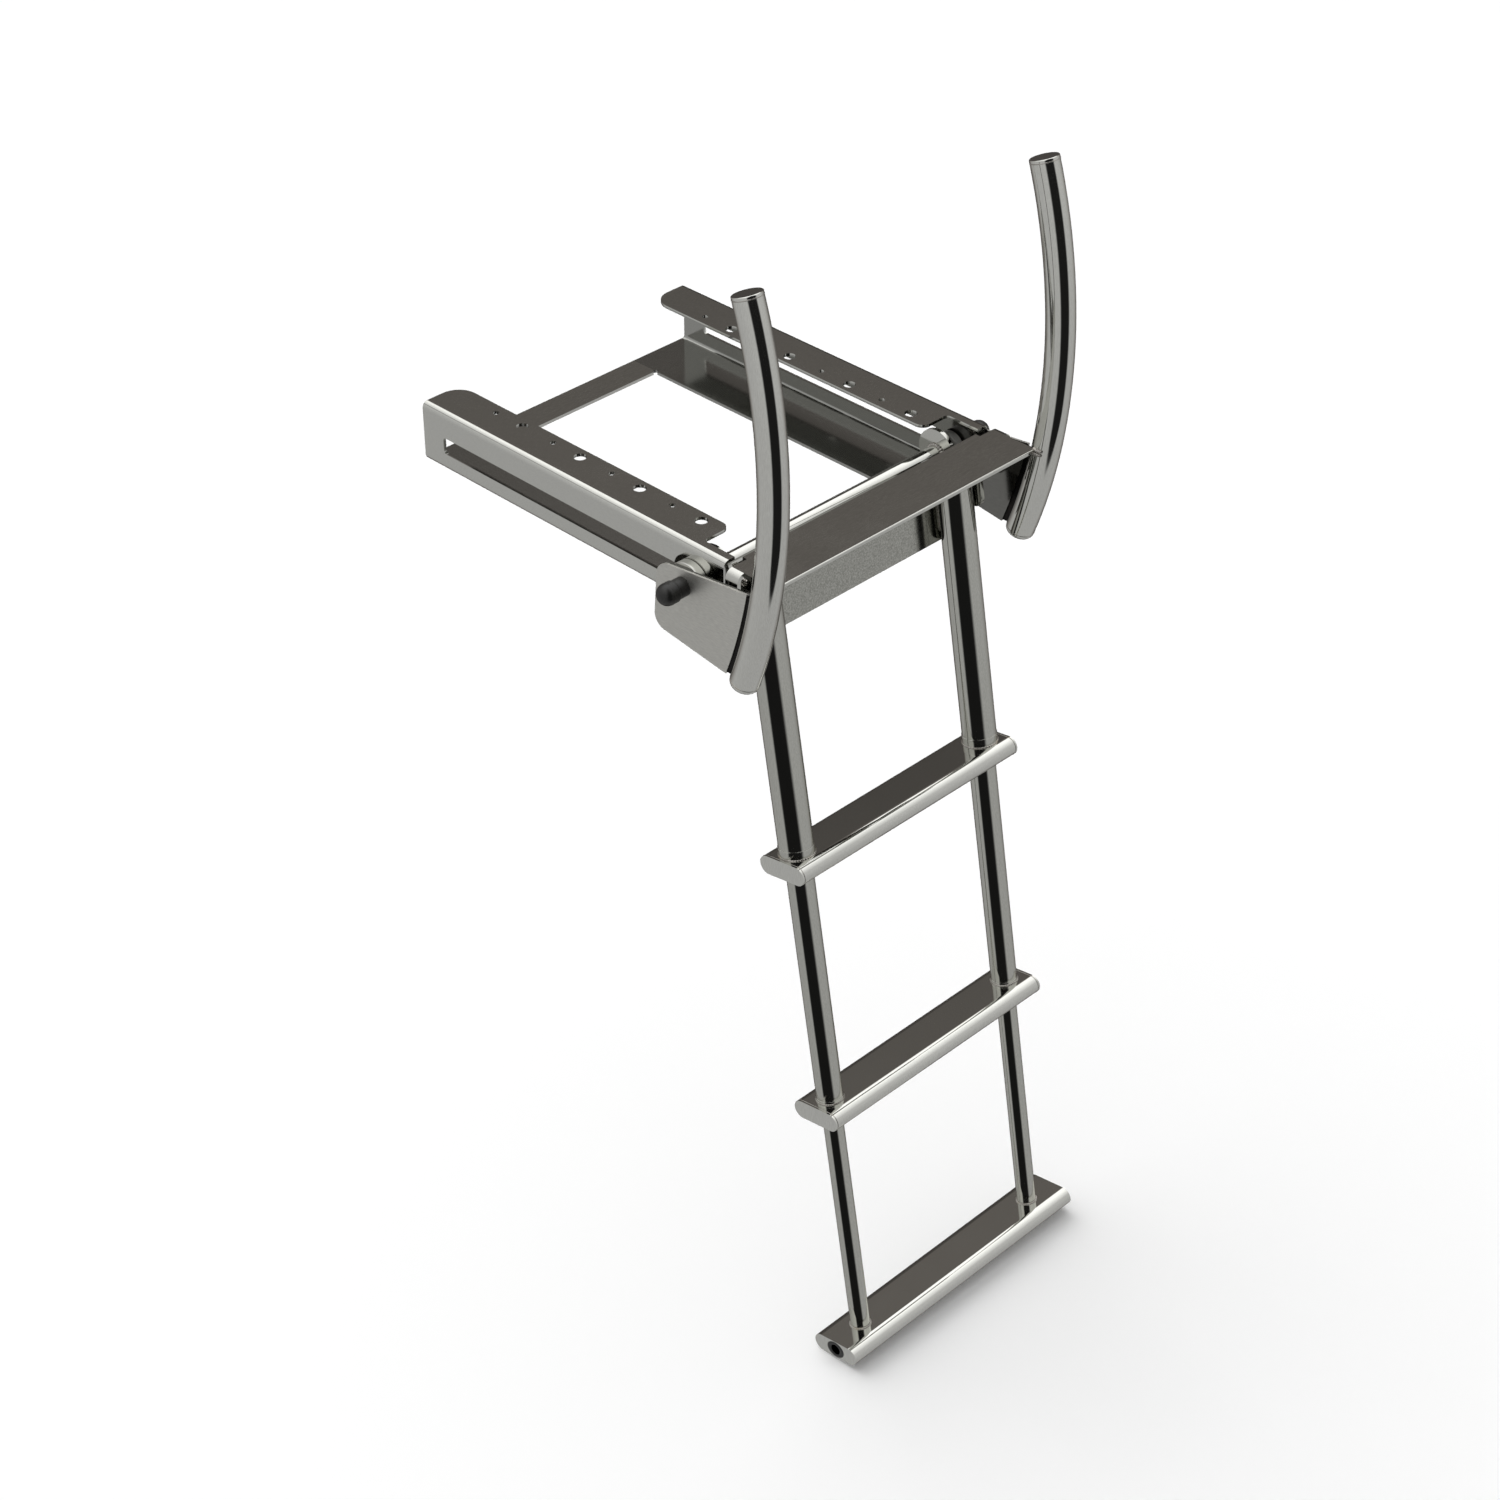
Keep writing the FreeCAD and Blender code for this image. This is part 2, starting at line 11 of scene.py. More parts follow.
import bpy
import numpy as np
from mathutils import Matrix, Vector


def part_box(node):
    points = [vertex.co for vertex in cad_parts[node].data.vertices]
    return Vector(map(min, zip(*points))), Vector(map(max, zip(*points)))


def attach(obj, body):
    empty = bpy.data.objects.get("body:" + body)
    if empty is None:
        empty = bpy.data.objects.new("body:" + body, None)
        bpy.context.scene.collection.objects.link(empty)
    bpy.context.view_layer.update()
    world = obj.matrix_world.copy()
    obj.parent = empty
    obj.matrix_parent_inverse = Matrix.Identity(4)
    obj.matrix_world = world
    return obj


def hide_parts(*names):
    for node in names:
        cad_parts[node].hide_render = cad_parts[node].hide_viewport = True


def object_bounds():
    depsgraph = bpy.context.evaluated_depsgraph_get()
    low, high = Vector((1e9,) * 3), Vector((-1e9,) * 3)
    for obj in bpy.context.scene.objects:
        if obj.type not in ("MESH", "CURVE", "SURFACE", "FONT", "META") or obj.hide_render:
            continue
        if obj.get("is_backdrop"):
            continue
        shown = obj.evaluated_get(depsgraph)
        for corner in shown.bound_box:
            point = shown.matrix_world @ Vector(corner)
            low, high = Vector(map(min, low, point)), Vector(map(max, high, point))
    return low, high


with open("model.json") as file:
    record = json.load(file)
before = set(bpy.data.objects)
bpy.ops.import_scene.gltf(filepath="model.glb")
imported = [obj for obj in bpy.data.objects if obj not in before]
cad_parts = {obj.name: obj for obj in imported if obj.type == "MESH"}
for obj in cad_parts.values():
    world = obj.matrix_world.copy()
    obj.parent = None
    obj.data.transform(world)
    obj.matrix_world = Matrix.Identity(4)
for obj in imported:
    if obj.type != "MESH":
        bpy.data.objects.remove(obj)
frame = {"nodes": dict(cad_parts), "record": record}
nodes = frame["nodes"]
record = frame["record"]
cad_low, cad_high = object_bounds()
print("CAD nodes", len(nodes), "box", [round(v, 3) for v in (*cad_low, *cad_high)])

# %% [markdown]
# Real sizes in metres that several cells share. The ladder leans by ten degrees, so "down the
# ladder" is a slanted direction, and the beads and sleeves below are set out along it.
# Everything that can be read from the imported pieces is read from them.

# %% Shared sizes
MM = 0.001
LEAN = math.radians(10.0)
DOWN = np.array([0.0, -math.sin(LEAN), -math.cos(LEAN)])
FRONT = np.array([0.0, -math.cos(LEAN), math.sin(LEAN)])
ACROSS = np.array([1.0, 0.0, 0.0])
HALF_ROOT = 0.7071


def middle_of(name):
    """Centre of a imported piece's box, as an array in metres."""
    low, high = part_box(name)
    return (np.array(low) + np.array(high)) / 2


CENTRE_X = float(middle_of("cross_strip")[0])
print("middle plane at x =", round(CENTRE_X, 4))

# %% [markdown]
# The picture was taken from the front left, from above, with a fairly long lens. The three
# edge directions of the frame all make the same angle with the line of sight, so the camera
# looks along the diagonal of a cube. Its place and lens follow from the sizes of the picture.

# %% Camera
EYE = Vector((-1.5688, -1.7563, 1.3625))
LOOK = Vector((1.0, 1.0, -1.0)).normalized()
LENS_MM = 75.53

camera = bpy.data.objects.new("camera", bpy.data.cameras.new("camera"))
bpy.context.scene.collection.objects.link(camera)
camera.location = EYE
camera.rotation_mode = "QUATERNION"
camera.rotation_quaternion = LOOK.to_track_quat("-Z", "Y")
camera.data.lens = LENS_MM
camera.data.clip_start = 0.05
camera.data.clip_end = 60.0
bpy.context.scene.camera = camera
print("camera looks along", [round(v, 3) for v in LOOK], "with a lens of", LENS_MM, "mm")

# %% [markdown]
# Colours are written as the hex values that a picture shows. Blender's shaders want linear
# light, so one function turns each value. A second small function adds a node with its
# settings and links, which keeps every material below short enough to read at a glance.

# %% Colour and node helpers


def linear(hex_code):
    """Linear RGBA of an sRGB hex colour: each channel is divided by 12.92 near black and
    otherwise raised to the power 2.4 after a small offset."""
    channels = [int(hex_code[i:i + 2], 16) / 255 for i in (0, 2, 4)]
    light = [c / 12.92 if c <= 0.04045 else ((c + 0.055) / 1.055) ** 2.4 for c in channels]
    return (*light, 1.0)


def add(tree, kind, inputs=None, **settings):
    """Adds a node of that kind. Settings are its properties; inputs maps a socket to a value,
    or to another node's output."""
    node = tree.nodes.new(kind)
    for key, value in settings.items():
        setattr(node, key, value)
    for socket, value in (inputs or {}).items():
        if isinstance(value, bpy.types.NodeSocket):
            tree.links.new(value, node.inputs[socket])
        else:
            node.inputs[socket].default_value = value
    return node


def ramp(tree, factor, stops):
    """A colour ramp from (position, hex colour) stops."""
    node = add(tree, "ShaderNodeValToRGB", {"Fac": factor})
    band = node.color_ramp
    band.elements[0].position, band.elements[0].color = stops[0][0], linear(stops[0][1])
    band.elements[1].position, band.elements[1].color = stops[-1][0], linear(stops[-1][1])
    for position, code in stops[1:-1]:
        band.elements.new(position).color = linear(code)
    return node.outputs["Color"]


def maths(tree, operation, a, b=0.0, c=0.0):
    """The output of one new Math node."""
    return add(tree, "ShaderNodeMath", {0: a, 1: b, 2: c}, operation=operation).outputs[0]


def smooth(tree, value, low, high, bottom=0.0, top=1.0):
    """Smooth step of value from bottom at low to top at high."""
    return add(tree, "ShaderNodeMapRange", {"Value": value, "From Min": low, "From Max": high,
                                            "To Min": bottom, "To Max": top},
               interpolation_type="SMOOTHSTEP").outputs["Result"]


def new_material(name):
    """An empty node material, with its node tree and its output node."""
    material = bpy.data.materials.new(name)
    material.use_nodes = True
    tree = material.node_tree
    tree.nodes.clear()
    output = add(tree, "ShaderNodeOutputMaterial")
    return material, tree, output


# %% [markdown]
# Stainless steel (316) that was cut from sheet or drawn as tube, then mirror-polished on a
# mop. The eye sees an almost perfect mirror with three faint traces of how it was made: the
# grain that the mop leaves, a slight wave of the sheet itself, and cloudy patches where a
# hand or water has dulled it. Grit lines are about 0.05 mm apart on the real surface, which
# is too fine to show, so they are drawn at about half a millimetre.
#
# Not every face looks the same. The handles and the rails are mirrors outside, the side plates
# are brushed satin outside, and the sheet behind the tubes keeps the grey finish of the mill.
# The faces that look inwards have a rougher finish, and their colour is darkened as painted
# shade, its depth matched to the picture.
#
# The dark stripe on the ladder's long tubes is broader and further round than on the handles.
# Polishing on a belt, which flattens one side a little, would do that. The shading normal is
# bunched and turned by fitted angles to put the stripe there, and the shape stays round.

# %% Polished steel
GRAIN_MM = 0.6
WAVE_MM = 60.0
CLOUD_MM = 45.0
BELT_SIDE = math.radians(-26.6)
BELT_SPREAD = 0.58
BELT_TURN = math.radians(-10.0)
TOP_FACES = -1.5 * MM


def per_metre(size_mm):
    """Noise scale whose features are about size_mm apart, on coordinates in metres."""
    return 1.0 / (size_mm * MM)


def about(axis, vector, angle):
    """A vector turned about a unit axis: v cos a + (axis x v) sin a + axis (axis . v)(1 - cos a)."""
    return (vector * math.cos(angle) + np.cross(axis, vector) * math.sin(angle)
            + axis * np.dot(axis, vector) * (1 - math.cos(angle)))


def in_world(tree, direction):
    """A direction fixed to the piece, as the world sees it when the piece has swung."""
    node = add(tree, "ShaderNodeVectorTransform", {"Vector": tuple(direction)}, vector_type="VECTOR",
               convert_from="OBJECT", convert_to="WORLD")
    return node.outputs["Vector"]


def belt_ground(tree, normal):
    """The normal of a belt-polished tube. With b the belt's side, n becomes n + k (n . b) b,
    which bunches the normals about b, and is then turned a little about the tube."""
    toward_climber = np.array([-HALF_ROOT, -HALF_ROOT, 0.0])
    toward_climber -= np.dot(toward_climber, DOWN) * DOWN
    belt = about(DOWN, toward_climber / np.linalg.norm(toward_climber), BELT_SIDE)
    side = in_world(tree, belt)
    facing = add(tree, "ShaderNodeVectorMath", {0: normal, 1: side}, operation="DOT_PRODUCT")
    share = maths(tree, "MULTIPLY", facing.outputs["Value"], BELT_SPREAD)
    pull = add(tree, "ShaderNodeVectorMath", {0: side, "Scale": share}, operation="SCALE")
    drawn = add(tree, "ShaderNodeVectorMath", {0: normal, 1: pull.outputs["Vector"]}, operation="ADD")
    unit = add(tree, "ShaderNodeVectorMath", {0: drawn.outputs["Vector"]}, operation="NORMALIZE")
    turned = add(tree, "ShaderNodeVectorRotate", {"Vector": unit.outputs["Vector"],
                                                  "Axis": in_world(tree, DOWN), "Angle": BELT_TURN},
                 rotation_type="AXIS_ANGLE")
    return turned.outputs["Vector"]


def inner_side(tree, place, half):
    """1 on faces nearer the middle plane than half, and below the top faces; otherwise 0."""
    part = add(tree, "ShaderNodeSeparateXYZ", {"Vector": place})
    aside = maths(tree, "ABSOLUTE", maths(tree, "SUBTRACT", part.outputs["X"], CENTRE_X))
    return maths(tree, "MULTIPLY", maths(tree, "LESS_THAN", aside, half),
                 maths(tree, "LESS_THAN", part.outputs["Z"], TOP_FACES))


def polished_steel(name, tint, rough, grain_along, belt=False, shaded_inside=None):
    """Mirror-polished stainless steel. grain_along stretches the polishing lines along that
    axis: (x, y, z) shares of the noise scale. belt gives the sheen of a belt-polished tube.
    shaded_inside is (half, rough, shade) for the inward faces nearer than half: they take that
    roughness, and shade scales their colour down as painted shade."""
    material, tree, output = new_material(name)
    place = add(tree, "ShaderNodeTexCoord").outputs["Object"]
    drawn = add(tree, "ShaderNodeMapping", {"Vector": place, "Scale": grain_along})
    grain = add(tree, "ShaderNodeTexNoise", {"Vector": drawn.outputs["Vector"],
                                             "Scale": per_metre(GRAIN_MM), "Detail": 2.0})
    cloud = add(tree, "ShaderNodeTexNoise", {"Vector": place, "Scale": per_metre(CLOUD_MM),
                                             "Detail": 3.0, "Roughness": 0.6})
    wave = add(tree, "ShaderNodeTexNoise", {"Vector": place, "Scale": per_metre(WAVE_MM),
                                            "Detail": 0.0})
    dark, light = tint
    colour = ramp(tree, grain.outputs["Fac"], [(0.3, dark), (0.7, light)])
    dulled = add(tree, "ShaderNodeMapRange", {"Value": cloud.outputs["Fac"], "From Min": 0.35,
                                              "From Max": 0.75, "To Min": rough, "To Max": rough + 0.05})
    rolled = add(tree, "ShaderNodeBump", {"Height": wave.outputs["Fac"], "Strength": 0.08,
                                          "Distance": 0.4 * MM})
    mopped = add(tree, "ShaderNodeBump", {"Height": grain.outputs["Fac"], "Strength": 0.05,
                                          "Distance": 0.01 * MM, "Normal": rolled.outputs["Normal"]})
    normal = belt_ground(tree, mopped.outputs["Normal"]) if belt else mopped.outputs["Normal"]
    finish = dulled.outputs["Result"]
    if shaded_inside:
        half, inner_rough, shade = shaded_inside
        mask = inner_side(tree, place, half)
        step = maths(tree, "SUBTRACT", inner_rough, finish)
        finish = maths(tree, "MULTIPLY_ADD", mask, step, finish)
        # Painted shade: the colour of the inward faces is scaled down by the shade factor.
        painted_shade_scale = maths(tree, "MULTIPLY_ADD", mask, shade - 1.0, 1.0)
        colour = add(tree, "ShaderNodeVectorMath", {0: colour, "Scale": painted_shade_scale},
                     operation="SCALE").outputs["Vector"]
    steel = add(tree, "ShaderNodeBsdfPrincipled", {"Base Color": colour, "Metallic": 1.0,
                                                   "Roughness": finish, "Normal": normal})
    tree.links.new(steel.outputs["BSDF"], output.inputs["Surface"])
    return material


RAIL_INSIDE = 161.5 * MM
PLATE_MIDDLE = float(middle_of("side_plate_right")[0]) - CENTRE_X
SHEET_STEEL = polished_steel("stainless_sheet_mirror_polished", ("BABAB5", "C8C8C3"), 0.05,
                             (0.12, 1.0, 1.0))
RAIL_STEEL = polished_steel("stainless_rail_mirror_painted_shade_inside", ("BABAB5", "C8C8C3"), 0.05,
                            (0.12, 1.0, 1.0), shaded_inside=(RAIL_INSIDE, 0.12, 0.62))
SATIN_STEEL = polished_steel("stainless_sheet_satin_painted_shade_inside", ("BCBBB6", "CDCCC6"), 0.42,
                             (1.0, 0.1, 1.0), shaded_inside=(PLATE_MIDDLE, 0.12, 0.3))
MILL_STEEL = polished_steel("stainless_sheet_mill_finish", ("8F8F89", "B4B4AE"), 0.12,
                            (0.4, 0.4, 0.4))
TUBE_STEEL = polished_steel("stainless_tube_mirror_polished", ("C6C6C1", "D0D0CB"), 0.04,
                            (1.0, 1.0, 0.1))
LADDER_STEEL = polished_steel("stainless_tube_belt_polished", ("B2B2AC", "BDBDB7"), 0.05,
                              (1.0, 1.0, 0.1), belt=True)
print("steel materials", [m.name for m in (SHEET_STEEL, RAIL_STEEL, SATIN_STEEL, MILL_STEEL,
                                           TUBE_STEEL, LADDER_STEEL)])

# %% [markdown]
# A weld that was ground back is duller and a little straw-coloured beside the mirror: the
# heat leaves a tint of oxide, and the grinding wheel leaves short scratches. The weld in the
# narrow groove between a side plate and its handle is coloured near black, as painted shade
# of that groove.

# %% Ground weld


def weld_metal(name, stops):
    """Weld metal: brushed roughness, with a heat tint in patches from (position, hex) stops."""
    material, tree, output = new_material(name)
    place = add(tree, "ShaderNodeTexCoord").outputs["Object"]
    ripple = add(tree, "ShaderNodeTexNoise", {"Vector": place, "Scale": per_metre(1.6),
                                              "Detail": 3.0})
    tint = add(tree, "ShaderNodeTexNoise", {"Vector": place, "Scale": per_metre(9.0)})
    colour = ramp(tree, tint.outputs["Fac"], stops)
    dulled = add(tree, "ShaderNodeMapRange", {"Value": ripple.outputs["Fac"], "To Min": 0.18,
                                              "To Max": 0.42})
    bump = add(tree, "ShaderNodeBump", {"Height": ripple.outputs["Fac"], "Strength": 0.35,
                                        "Distance": 0.15 * MM})
    steel = add(tree, "ShaderNodeBsdfPrincipled", {"Base Color": colour, "Metallic": 1.0,
                                                   "Roughness": dulled.outputs["Result"],
                                                   "Normal": bump.outputs["Normal"]})
    tree.links.new(steel.outputs["BSDF"], output.inputs["Surface"])
    return material


WELD = weld_metal("stainless_weld_ground", [(0.3, "8E8A84"), (0.55, "B4B1AC"), (0.8, "A89C88")])
# Painted shade: the near-black stops stand for the shade in the gap between side plate and handle.
GROOVE_SHADE = weld_metal("stainless_weld_painted_groove_shade", [(0.3, "0B0A0A"), (0.6, "1C1A19"), (0.8, "2A2523")])
print("weld materials", WELD.name, GROOVE_SHADE.name)

# %% [markdown]
# The caps on the axle ends are moulded rubber: near black, with a soft broad gleam from a
# fine moulded texture. The guides and rollers are acetal, turned on a lathe, so they are a
# waxy off-white and grey with rings that are too fine to count.

# %% Rubber and acetal


def moulded(name, dark, light, rough, texture_mm, depth_mm):
    """A moulded or turned plastic or rubber: two near tones, satin, with a fine bump."""
    material, tree, output = new_material(name)
    place = add(tree, "ShaderNodeTexCoord").outputs["Object"]
    skin = add(tree, "ShaderNodeTexNoise", {"Vector": place, "Scale": per_metre(texture_mm),
                                            "Detail": 2.0})
    worn = add(tree, "ShaderNodeTexNoise", {"Vector": place, "Scale": per_metre(texture_mm * 14)})
    colour = ramp(tree, worn.outputs["Fac"], [(0.35, dark), (0.7, light)])
    satin = add(tree, "ShaderNodeMapRange", {"Value": skin.outputs["Fac"], "To Min": rough - 0.06,
                                             "To Max": rough + 0.08})
    bump = add(tree, "ShaderNodeBump", {"Height": skin.outputs["Fac"], "Strength": 0.4,
                                        "Distance": depth_mm * MM})
    body = add(tree, "ShaderNodeBsdfPrincipled", {"Base Color": colour,
                                                  "Roughness": satin.outputs["Result"],
                                                  "Normal": bump.outputs["Normal"]})
    tree.links.new(body.outputs["BSDF"], output.inputs["Surface"])
    return material


RUBBER = moulded("rubber_moulded_black", "0C0C0B", "1B1A18", 0.38, 0.5, 0.05)
GUIDE = moulded("acetal_turned_white", "CFCCC2", "DEDBD2", 0.34, 0.8, 0.02)
ROLLER = moulded("acetal_turned_grey", "8F8E8A", "A5A4A0", 0.36, 0.8, 0.02)

FINISHES = {"polished_sheet": SHEET_STEEL, "polished_steel": TUBE_STEEL, "weld_seam": WELD,
            "black_rubber": RUBBER, "guide_plastic": GUIDE, "roller_plastic": ROLLER}
for part in record["subparts"]:
    piece = nodes[part["node"]]
    piece.data.materials.clear()
    piece.data.materials.append(FINISHES[part["material_slot"]])
for side in ("left", "right"):
    for kind in ("upper_tube", "mid_tube", "low_tube"):
        nodes[kind + "_" + side].data.materials[0] = LADDER_STEEL
    nodes["rail_" + side].data.materials[0] = RAIL_STEEL
    nodes["side_plate_" + side].data.materials[0] = SATIN_STEEL
    # Painted shade: the weld in the groove beside each handle is near black.
    nodes["side_weld_" + side].data.materials[0] = GROOVE_SHADE
nodes["back_sheet"].data.materials[0] = MILL_STEEL
print("finishes on", len(record["subparts"]), "packed pieces")

# %% [markdown]
# The small pieces that the welder, the turner and the moulder add are surfaces that numpy
# computes. Each is a grid of points: one closed section after another along a path. One
# function turns such a grid into a mesh, closes its ends, makes its faces look outwards and
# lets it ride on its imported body.

# %% From grids to pieces


def shell(name, points, body, material, ring=False):
    """Mesh piece from a grid of points, sections by points round a section. Point (i, j) joins
    (i, j + 1) round its section and (i + 1, j) in the next. The last section joins the first
    when ring is true; otherwise a fan to the mean of each end section closes the piece. The
    signed volume, a sixth of the sum of a . (b x c) over all triangles, tells whether the faces
    look outwards."""
    count, round_count = points.shape[:2]
    index = np.arange(count * round_count).reshape(count, round_count)
    here = index if ring else index[:-1]
    there = np.roll(index, -1, axis=0) if ring else index[1:]
    quads = np.stack([here, np.roll(here, -1, axis=1), np.roll(there, -1, axis=1), there], axis=-1)
    faces = quads.reshape(-1, 4).tolist()
    vertices = points.reshape(-1, 3)
    if not ring:
        vertices = np.concatenate([vertices, points[[0, -1]].mean(axis=1)])
        first, last = index[0], index[-1]
        tip = np.full(round_count, count * round_count)
        faces += np.stack([tip, np.roll(first, -1), first], axis=-1).tolist()
        faces += np.stack([tip + 1, last, np.roll(last, -1)], axis=-1).tolist()
    mesh = bpy.data.meshes.new(name)
    mesh.from_pydata(vertices.tolist(), [], faces)
    mesh.calc_loop_triangles()
    corners = np.empty(len(mesh.loop_triangles) * 3, np.int32)
    mesh.loop_triangles.foreach_get("vertices", corners)
    a, b, c = np.moveaxis(vertices[corners.reshape(-1, 3)], 1, 0)
    if np.einsum("ij,ij->", a, np.cross(b, c)) < 0:
        mesh.flip_normals()
    mesh.polygons.foreach_set("use_smooth", [True] * len(mesh.polygons))
    mesh.materials.append(material)
    piece = bpy.data.objects.new(name, mesh)
    bpy.context.scene.collection.objects.link(piece)
    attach(piece, body)
    return piece


def turn_of(count):
    """Angles of a full turn, count of them, as a column."""
    return (np.arange(count) * (2 * math.pi / count))[:, None]


def circle(centre, u, v, radius, count):
    """Circle path: centre + radius (u cos a + v sin a), and the outward direction at each point."""
    a = turn_of(count)
    outward = u * np.cos(a) + v * np.sin(a)
    return centre + radius * outward, outward


SECTION_POINTS = 14
RIPPLE = 0.12


def bead(path, outward, up, size, ripples=0.0, ring=True):
    """Weld bead along a path. Its section at share t of the way is a circle in the plane of
    outward and up, with radius size * (1 + RIPPLE cos(2 pi ripples t)). Each section also leans
    along the path by the sine of the same angle times its height, so that the ripples overlap
    like pushed-over coins. The ends of an open bead are drawn in by the root of 1 - (2t - 1)^8."""
    count = len(path)
    t = (np.arange(count) / (count if ring else count - 1))[:, None]
    radius = size * (1 + RIPPLE * np.cos(2 * math.pi * ripples * t) * (ripples > 0))
    if not ring:
        radius = radius * np.sqrt(np.clip(1 - (2 * t - 1) ** 8, 0.01, 1.0))
    angle = turn_of(SECTION_POINTS).T
    forward = np.roll(path, -1, axis=0) - path
    if not ring:
        forward[-1] = forward[-2]
    lean = 0.35 * np.sin(2 * math.pi * ripples * t) * np.sin(angle)
    across = (radius * np.cos(angle))[:, :, None] * outward[:, None]
    high = (radius * np.sin(angle))[:, :, None] * up
    return path[:, None] + across + high + lean[:, :, None] * forward[:, None]


SIDES = ("left", "right")
SECTIONS_PER_RIPPLE = 9
print("section points", SECTION_POINTS, "ripple", RIPPLE)

# %% [markdown]
# The steps are flattened tubes, so their true thickness and flat width can be worked back from
# the leaned boxes: the box is the flat's slanted span plus one thickness in both directions.
# The tubes' middle lines run through the middles of the lower tubes, down the lean.

# %% Measures of the ladder
step_box = np.array(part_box("step_upper")[1]) - np.array(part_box("step_upper")[0])
STEP_FLAT = float((step_box[1] - step_box[2]) / (math.cos(LEAN) - math.sin(LEAN)))
STEP_THICK = float(step_box[1] - STEP_FLAT * math.cos(LEAN))
STEPS = {"upper": "head", "middle": "middle_section", "lower": "lower_section"}
TUBES = {"upper": "upper_tube", "middle": "mid_tube", "lower": "low_tube"}
LOW_RADIUS = 9.5 * MM


def tube_radius(kind):
    """Radius of a ladder tube: half its width across the ladder. A lower tube's box holds the
    wider slide ring on its head too, so that tube's own radius is written above."""
    low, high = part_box(kind + "_right")
    return LOW_RADIUS if kind == "low_tube" else float(high[0] - low[0]) / 2


def on_axis(side, z):
    """Point of a ladder side's middle line at height z."""
    base = middle_of("low_tube_" + side)
    return base + DOWN * (base[2] - z) / math.cos(LEAN)


print("step flat", round(STEP_FLAT / MM, 2), "mm, thickness", round(STEP_THICK / MM, 2), "mm")
print("tube radii", [round(tube_radius(k) / MM, 2) for k in TUBES.values()], "mm")

# %% [markdown]
# A fine bright line runs round the foot of each upper tube, a little above the step. It is
# read here as the rounded top edge of a thin sleeve that hides the joint: tall on the upper
# step, low on the middle one, where the sections have to close. The sleeves stand for the plain
# packed collars. Below them, and at the feet of the lower tubes, the welder's bead is hardly
# thicker than a wire.

# %% Sleeves and beads at the feet of the tubes
SLEEVE_HEIGHT = {"upper": 8.5 * MM, "middle": 3.0 * MM}
SLEEVE_THICK = 1.0 * MM
SLEEVE_PROUD = 0.55 * MM
CORNER = 0.4
FOOT_SIZE = 0.9 * MM
FOOT_RIPPLES = 44
BEAD_SINK = 0.2 * MM
BEAD_OUT = 0.3 * MM
COLLARS = {"upper": "upper_collar_", "middle": "mid_collar_"}


def sleeve(centre, radius, height, count=144, round_count=40):
    """Ring whose section is a rounded box, SLEEVE_THICK by height: at angle b round the section
    the offsets are half a side times the sign of cos b or sin b times its size to the power
    CORNER."""
    b = turn_of(round_count).T
    out = SLEEVE_THICK / 2 * np.sign(np.cos(b)) * np.abs(np.cos(b)) ** CORNER
    rise = height / 2 * np.sign(np.sin(b)) * np.abs(np.sin(b)) ** CORNER
    path, outward = circle(centre, ACROSS, FRONT, radius + SLEEVE_PROUD - SLEEVE_THICK / 2, count)
    return path[:, None] + out[:, :, None] * outward[:, None] - rise[:, :, None] * DOWN


for level, body in STEPS.items():
    radius = tube_radius(TUBES[level])
    for side in SIDES:
        top = on_axis(side, middle_of("step_" + level)[2]) - DOWN * STEP_THICK / 2
        path, outward = circle(top - DOWN * BEAD_SINK, ACROSS, FRONT, radius + BEAD_OUT,
                               FOOT_RIPPLES * SECTIONS_PER_RIPPLE)
        shell("foot_bead_" + level + "_" + side, bead(path, outward, -DOWN, FOOT_SIZE, FOOT_RIPPLES),
              body, WELD, ring=True)
        if level in SLEEVE_HEIGHT:
            height = SLEEVE_HEIGHT[level]
            tall = sleeve(top - DOWN * height / 2, radius, height)
            cover = shell("sleeve_" + level + "_" + side, tall, body, LADDER_STEEL,
                          ring=True)
            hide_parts(COLLARS[level] + side)
print("sleeves", {k: round(v / MM, 1) for k, v in SLEEVE_HEIGHT.items()}, "mm tall")

# %% [markdown]
# Each step is a tube with a plate welded into its ends. The weld was ground flush, and only a
# faint raised line round the two upper steps, near the end, shows where it runs.

# %% Lines round the ends of the steps
END_INSET = 2.2 * MM
LINE_SIZE = 0.6 * MM
LINE_PROUD = 0.22 * MM
a = turn_of(96)
side_of_flat = np.where(np.cos(a) >= 0, 1.0, -1.0)
edge_out = FRONT * np.cos(a) - DOWN * np.sin(a)
for level in ("upper", "middle"):
    body = STEPS[level]
    middle = middle_of("step_" + level)
    low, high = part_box("step_" + level)
    for side, x in (("left", low[0] + END_INSET), ("right", high[0] - END_INSET)):
        centre = np.array([x, middle[1], middle[2]])
        path = (centre + FRONT * side_of_flat * STEP_FLAT / 2
                + edge_out * (STEP_THICK / 2 - LINE_SIZE + LINE_PROUD))
        shell("end_line_" + level + "_" + side, bead(path, edge_out, ACROSS, LINE_SIZE), body, WELD,
              ring=True)
print("end lines stand", round(LINE_PROUD / MM, 2), "mm proud")

# %% [markdown]
# The ends of the last step show a dark round opening, wider than the imported drain hole. A ring
# in the black rubber finish on the hole's rim brings the outline nearer: it is painted shade of the
# opening. It is an invention: the picture shows a plain dark opening, and a wider hole in the
# imported step would be truer.

# %% Rings on the drain holes of the last step
SHADE_RING_WIDE = 10.6 * MM
SHADE_RING_HIGH = 8.6 * MM
SHADE_RING_BORE = 5.4 * MM
SHADE_RING_PROUD = 0.5 * MM


